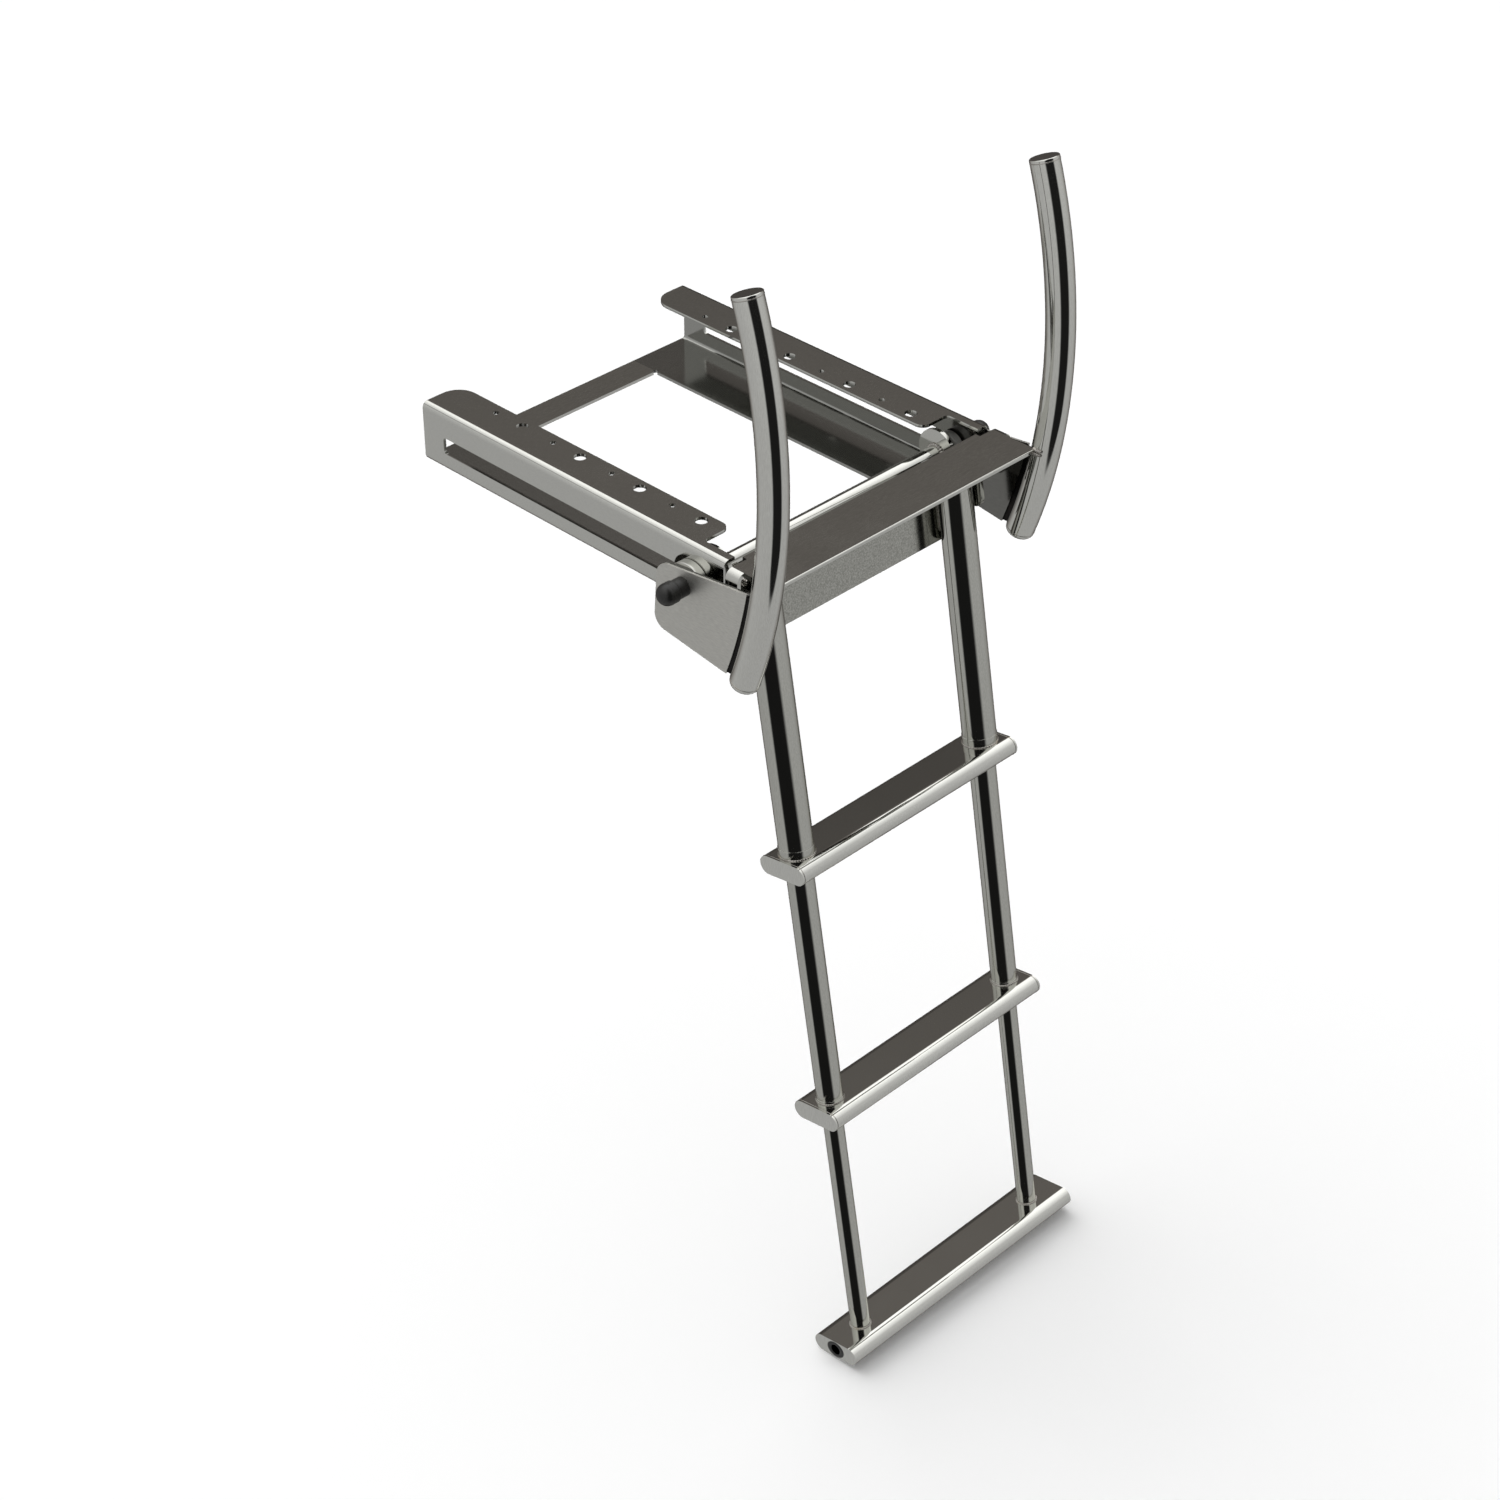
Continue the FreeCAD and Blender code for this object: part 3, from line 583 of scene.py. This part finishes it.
def shade_ring(centre, outward):
    """Oval ring on a hole's rim. Its section runs round a flattened lens: from the bore out to
    the oval edge at angle a, (wide cos a, high sin a), and rises by the sine of its own angle."""
    a = turn_of(96)
    b = turn_of(24).T
    share = (1 + np.cos(b)) / 2
    wide = SHADE_RING_BORE + (SHADE_RING_WIDE - SHADE_RING_BORE) * share
    high = SHADE_RING_BORE + (SHADE_RING_HIGH - SHADE_RING_BORE) * share
    flat = (wide * np.cos(a))[:, :, None] * FRONT + (high * np.sin(a))[:, :, None] * -DOWN
    return centre + flat + (SHADE_RING_PROUD * np.sin(b) + 0 * a)[:, :, None] * outward


# Painted shade: the black rings widen the dark opening of each drain hole.
low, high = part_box("step_lower")
middle = middle_of("step_lower")
for side, x, outside in (("left", low[0], -1.0), ("right", high[0], 1.0)):
    shell("drain_painted_shade_ring_" + side, shade_ring(np.array([x, middle[1], middle[2]]), ACROSS * outside),
          "lower_section", RUBBER, ring=True)
print("drain grommets", round(SHADE_RING_WIDE * 2 / MM, 1), "by", round(SHADE_RING_HIGH * 2 / MM, 1), "mm")

# %% [markdown]
# The handles were bent on a large former and their ends closed with turned discs. The weld
# under each disc was ground as well, and it shows as a fine ring. The arc of the handle is
# worked back from three heights: its two ends and its furthest point forward.

# %% Rings at the ends of the handles
BEND_RADIUS = 538.7 * MM
BEND_HEIGHT = 87.3 * MM
RING_HEIGHTS = {"top": 0.260, "foot": -0.094}
handle_low, handle_high = (np.array(v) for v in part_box("handle_right"))
HANDLE_RADIUS = float(handle_high[0] - handle_low[0]) / 2
BEND_BACK = float(handle_low[1]) + HANDLE_RADIUS + BEND_RADIUS


def on_handle(side, z):
    """Point of a handle's middle line at height z, and the upward direction there. With
    sin a = (z - BEND_HEIGHT) / BEND_RADIUS the point is BEND_RADIUS cos a in front of the
    centre of the bend, and the line climbs along (0, sin a, cos a)."""
    rise = (z - BEND_HEIGHT) / BEND_RADIUS
    run = math.sqrt(1 - rise * rise)
    x = float(middle_of("handle_" + side)[0])
    return np.array([x, BEND_BACK - BEND_RADIUS * run, z]), np.array([0.0, rise, run])


for side in SIDES:
    for end, z in RING_HEIGHTS.items():
        centre, climb = on_handle(side, z)
        path, outward = circle(centre, ACROSS, np.cross(climb, ACROSS),
                               HANDLE_RADIUS - LINE_SIZE + LINE_PROUD, 96)
        shell("handle_ring_" + end + "_" + side, bead(path, outward, climb, LINE_SIZE), "head", WELD,
              ring=True)
print("handle radius", round(HANDLE_RADIUS / MM, 2), "mm, bend centre at y", round(BEND_BACK, 4))

# %% [markdown]
# The hinge cheeks are welded to the hollow axle on both faces, and each ladder tube to the disc
# that closes its top. The top plate meets each handle in a short bead above and one below. These
# beads are left as they fell, because nobody's hand or foot comes near them.

# %% Beads of the head
AXLE = middle_of("axle")
axle_low, axle_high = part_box("axle")
AXLE_RADIUS = float(axle_high[2] - axle_low[2]) / 2
UP = np.array([0.0, 0.0, 1.0])
AHEAD = np.array([0.0, -1.0, 0.0])
HINGE_SIZE, HINGE_RIPPLES = 2.0 * MM, 24
TOP_SIZE, TOP_RIPPLES = 1.7 * MM, 40
PLATE_SIZE, PLATE_RIPPLES = 1.5 * MM, 7
PLATE_FAN = 24
PLATE_THICK = 4.0 * MM
BEAD_IN = 0.8 * MM
PLATE_TOP = float(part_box("head_plate")[1][2])

for side, outside in (("left", -1.0), ("right", 1.0)):
    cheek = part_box("hinge_gusset_" + side)
    for face, x in (("a", cheek[0][0]), ("b", cheek[1][0])):
        path, outward = circle(np.array([x, AXLE[1], AXLE[2]]), UP, AHEAD, AXLE_RADIUS + BEAD_OUT,
                               HINGE_RIPPLES * SECTIONS_PER_RIPPLE)
        shell("hinge_bead_" + face + "_" + side, bead(path, outward, ACROSS, HINGE_SIZE, HINGE_RIPPLES),
              "head", WELD, ring=True)
    radius = tube_radius("upper_tube")
    top = on_axis(side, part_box("upper_tube_" + side)[1][2] - radius * math.sin(LEAN))
    path, outward = circle(top - DOWN * BEAD_SINK, ACROSS, FRONT, radius - BEAD_IN,
                           TOP_RIPPLES * SECTIONS_PER_RIPPLE)
    shell("tube_top_bead_" + side, bead(path, outward, DOWN, TOP_SIZE, TOP_RIPPLES), "head", WELD,
          ring=True)
    for face, z in (("above", PLATE_TOP), ("below", PLATE_TOP - PLATE_THICK)):
        centre, climb = on_handle(side, z)
        spread = np.linspace(-PLATE_FAN, PLATE_FAN, PLATE_RIPPLES * SECTIONS_PER_RIPPLE)
        fan = np.radians(spread)[:, None]
        outward = ACROSS * -outside * np.cos(fan) + AHEAD * np.sin(fan)
        path = centre + outward * (HANDLE_RADIUS + 0.4 * MM)
        short = bead(path, outward, UP, PLATE_SIZE, PLATE_RIPPLES, ring=False)
        shell("plate_bead_" + face + "_" + side, short, "head", WELD)
print("axle radius", round(AXLE_RADIUS / MM, 2), "mm")

# %% [markdown]
# The sheet behind the tubes touches each of them along one line. The welder fills the narrow
# wedge on either side of that line, so each tube has a left and a right bead.

# %% Beads of the back sheet
WEDGE_ASIDE = 6.8 * MM
WEDGE_SIZE, WEDGE_RIPPLES = 1.4 * MM, 24
WEDGE_TOP_GAP = 4 * MM
WEDGE_FOOT_GAP = 8 * MM
sheet_low, sheet_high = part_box("back_sheet")
for side in SIDES:
    radius = tube_radius("upper_tube")
    high = on_axis(side, float(sheet_high[2]) - radius * math.sin(LEAN) - WEDGE_TOP_GAP)
    low = on_axis(side, float(sheet_low[2]) + radius * math.sin(LEAN) + WEDGE_FOOT_GAP)
    share = np.linspace(0, 1, WEDGE_RIPPLES * SECTIONS_PER_RIPPLE)[:, None]
    for edge, aside in (("a", -WEDGE_ASIDE), ("b", WEDGE_ASIDE)):
        path = high + (low - high) * share + ACROSS * aside - FRONT * (radius - BEAD_IN)
        wedge = bead(path, ACROSS + 0 * path, FRONT, WEDGE_SIZE, WEDGE_RIPPLES, ring=False)
        shell("sheet_bead_" + edge + "_" + side, wedge, "head", WELD)
print("sheet beads run", round(float(sheet_high[2] - sheet_low[2]) / MM, 1), "mm of height")

# %% [markdown]
# The rubber caps come out of a two-part mould: a neck that is pushed over the axle, a shoulder,
# and a domed head with a hair-thin ring where the mould closed. They are turned about the axle
# here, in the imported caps' place and size.

# %% Caps on the axle ends
NECK_RADIUS = 9.0 * MM
NECK_LENGTH = 11.5 * MM
SHOULDER = 1.3 * MM
DOME = 9.0 * MM
PARTING = 0.12 * MM


def step_up(x, start, length):
    """Smooth rise from 0 to 1 over a length: with u the clipped share, 3u^2 - 2u^3."""
    u = np.clip((x - start) / length, 0.0, 1.0)
    return u * u * (3 - 2 * u)


for side, outside in (("left", -1.0), ("right", 1.0)):
    low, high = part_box("axle_cap_" + side)
    length = float(high[0] - low[0])
    head_radius = float(high[2] - low[2]) / 2
    base = float(low[0] if outside > 0 else high[0])
    x = np.concatenate([np.linspace(0, length - DOME, 70),
                        length - DOME + DOME * np.sin(np.linspace(0.02, 0.985, 40) * math.pi / 2)])
    radius = NECK_RADIUS + (head_radius - NECK_RADIUS) * step_up(x, NECK_LENGTH - SHOULDER, SHOULDER)
    radius = radius - 0.25 * MM * (1 - step_up(x, 0.0, 0.8 * MM))
    radius = radius + PARTING * np.exp(-((x - (length - DOME)) / (0.35 * MM)) ** 2) - PARTING
    dome = np.sqrt(1 - np.clip((x - (length - DOME)) / DOME, 0.0, 1.0) ** 2)
    radius = radius * dome ** 0.9
    angle = turn_of(72).T
    points = np.stack([base + outside * x[:, None] + 0 * angle,
                       AXLE[1] + radius[:, None] * np.cos(angle),
                       AXLE[2] + radius[:, None] * np.sin(angle)], axis=-1)
    cap = shell("rubber_cap_" + side, points, "head", RUBBER)
    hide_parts("axle_cap_" + side)
print("cap length", round(length / MM, 1), "mm, head radius", round(head_radius / MM, 1), "mm")

# %% [markdown]
# The studio. The floor is plain white, level with the foot of the ladder, and it takes the
# ladder's soft shadow. The shadow is only ever cast, never painted, so that it follows the
# ladder when the sections slide or the head swings. The room around it is white to the eye.
# Polished metal shows its surroundings rather than a colour of its own, so what it mirrors
# matters more than any lamp: two big light walls, one to each side, a dark corner behind the
# camera, and a dim far end. That is how a photographer gets the black stripe down a polished
# tube.

# %% Floor
FLOOR_HALF = 30.0

floor_mesh = bpy.data.meshes.new("floor")
floor_mesh.from_pydata([(-FLOOR_HALF, -FLOOR_HALF, cad_low[2]), (FLOOR_HALF, -FLOOR_HALF, cad_low[2]),
                        (FLOOR_HALF, FLOOR_HALF, cad_low[2]), (-FLOOR_HALF, FLOOR_HALF, cad_low[2])],
                       [], [(0, 1, 2, 3)])
floor = bpy.data.objects.new("floor", floor_mesh)
bpy.context.scene.collection.objects.link(floor)
paper, tree, output = new_material("white_floor")
matt = add(tree, "ShaderNodeBsdfDiffuse", {"Color": linear("FFFFFF")})
tree.links.new(matt.outputs["BSDF"], output.inputs["Surface"])
floor.data.materials.append(paper)
floor.visible_glossy = False
floor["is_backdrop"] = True

# %% [markdown]
# The room is the world's colour as a function of direction. East and north of the ladder are
# found with simple sums of the direction's parts, and each light wall is a smooth bump along
# the horizon. Its numbers were fitted to the tones that the picture's steel shows. A mirror ray
# reads this room and the camera sees plain white, so the steel has its stripes on a white page,
# and it will look different where another room surrounds it. Matt surfaces are
# lit by an even dome with a broad soft light behind the ladder, which together bring the same
# light to the floor as a plain white dome would, and which deepen the shadow before the step.

# %% Room
world = bpy.data.worlds.new("studio")
bpy.context.scene.world = world
world.use_nodes = True
tree = world.node_tree
tree.nodes.clear()
sky = add(tree, "ShaderNodeOutputWorld")

DARK_LEFT = -3.0
DARK_RIGHT = 60.0
DARK_SOFT = 6.0
DARK_FOOT = -0.736
DARK_LIFT = 0.131
DARK_MIDDLE = 26.5
DARK_REACH = 35.0
DARK_EDGE = 0.025
DARK_LEVEL = 0.015
END_INNER = 97.0
END_OUTER = 165.0
CEILING_FROM, CEILING_TO = 0.55, 0.62
CEILING_LIGHT = 1.56
FAR_END = (0.32, 0.52, 0.08, 0.17)
WALL_RISE = (-0.91, 0.68, 0.526, 0.746)
WALL_TOP = (0.345, 1.22, 0.0, 1.057)
KEY_FROM = (0.0000, 0.7220, 0.6919)
KEY_POWER = 3.0
KEY_LIGHT = 2.663
DOME_LIGHT = 0.25

way = add(tree, "ShaderNodeTexCoord").outputs["Generated"]
split = add(tree, "ShaderNodeSeparateXYZ", {"Vector": way})
east, north, rise = (split.outputs[i] for i in range(3))
# Angle round the horizon in degrees, zero straight behind the camera, positive to its right
toward = maths(tree, "MULTIPLY_ADD", east, -HALF_ROOT, maths(tree, "MULTIPLY", north, -HALF_ROOT))
beside = maths(tree, "MULTIPLY_ADD", east, HALF_ROOT, maths(tree, "MULTIPLY", north, -HALF_ROOT))
turn = maths(tree, "MULTIPLY", maths(tree, "ARCTAN2", beside, toward), 180 / math.pi)

# Dark corner: straight sides, and a foot that lifts in a parabola away from its middle
from_middle = maths(tree, "DIVIDE", maths(tree, "SUBTRACT", turn, DARK_MIDDLE), DARK_REACH)
squared = maths(tree, "MULTIPLY", from_middle, from_middle)
foot = maths(tree, "MULTIPLY_ADD", squared, DARK_LIFT, DARK_FOOT)
over_foot = maths(tree, "SUBTRACT", rise, foot)
left_edge = smooth(tree, turn, DARK_LEFT - DARK_SOFT, DARK_LEFT + DARK_SOFT)
right_edge = smooth(tree, turn, DARK_RIGHT + DARK_SOFT, DARK_RIGHT - DARK_SOFT)
dark_corner = maths(tree, "MULTIPLY", smooth(tree, over_foot, -DARK_EDGE, DARK_EDGE),
                    maths(tree, "MULTIPLY", left_edge, right_edge))

# Far end: dim at eye level, with a bright ceiling light above it
ceiling = smooth(tree, rise, CEILING_FROM, CEILING_TO)
far_end = maths(tree, "MULTIPLY_ADD", ceiling, CEILING_LIGHT, smooth(tree, rise, *FAR_END))
ends = maths(tree, "MULTIPLY", smooth(tree, turn, END_OUTER, END_INNER),
             smooth(tree, turn, -END_OUTER, -END_INNER))

# Side walls: an even light that grows slowly to the ceiling
height = maths(tree, "ADD", smooth(tree, rise, *WALL_RISE), smooth(tree, rise, *WALL_TOP))
wall = maths(tree, "MULTIPLY_ADD", ends, maths(tree, "SUBTRACT", height, far_end), far_end)
room = maths(tree, "MULTIPLY_ADD", dark_corner, maths(tree, "SUBTRACT", DARK_LEVEL, wall), wall)

# Which ray sees what: mirror rays the room, matt rays the dome and key, the camera plain white
rays = add(tree, "ShaderNodeLightPath").outputs
mirror_ray, matt_ray = rays["Is Glossy Ray"], rays["Is Diffuse Ray"]
aimed = add(tree, "ShaderNodeVectorMath", {0: way, 1: KEY_FROM}, operation="DOT_PRODUCT")
key = maths(tree, "POWER", maths(tree, "MAXIMUM", aimed.outputs["Value"], 0.0), KEY_POWER)
dome = maths(tree, "MULTIPLY_ADD", key, KEY_LIGHT, DOME_LIGHT)
level = maths(tree, "MULTIPLY_ADD", mirror_ray, maths(tree, "SUBTRACT", room, 1.0), 1.0)
level = maths(tree, "MULTIPLY_ADD", matt_ray, maths(tree, "SUBTRACT", dome, 1.0), level)
# The dim far end is a little warm; everything else, and every other ray, is white
white = maths(tree, "MAXIMUM", maths(tree, "MAXIMUM", ends, ceiling),
              maths(tree, "SUBTRACT", 1.0, mirror_ray))
cast = ramp(tree, white, [(0.0, "FFF6EF"), (1.0, "FFFFFF")])
light = add(tree, "ShaderNodeBackground", {"Color": cast, "Strength": level})
tree.links.new(light.outputs["Background"], sky.inputs["Surface"])
bpy.context.scene.view_settings.view_transform = "Standard"

# %% [markdown]
# The last cell prints the box of the dressed ladder.

# %% Sizes and finish
low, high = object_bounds()
print("visual box", [round(v, 3) for v in (*low, *high)])
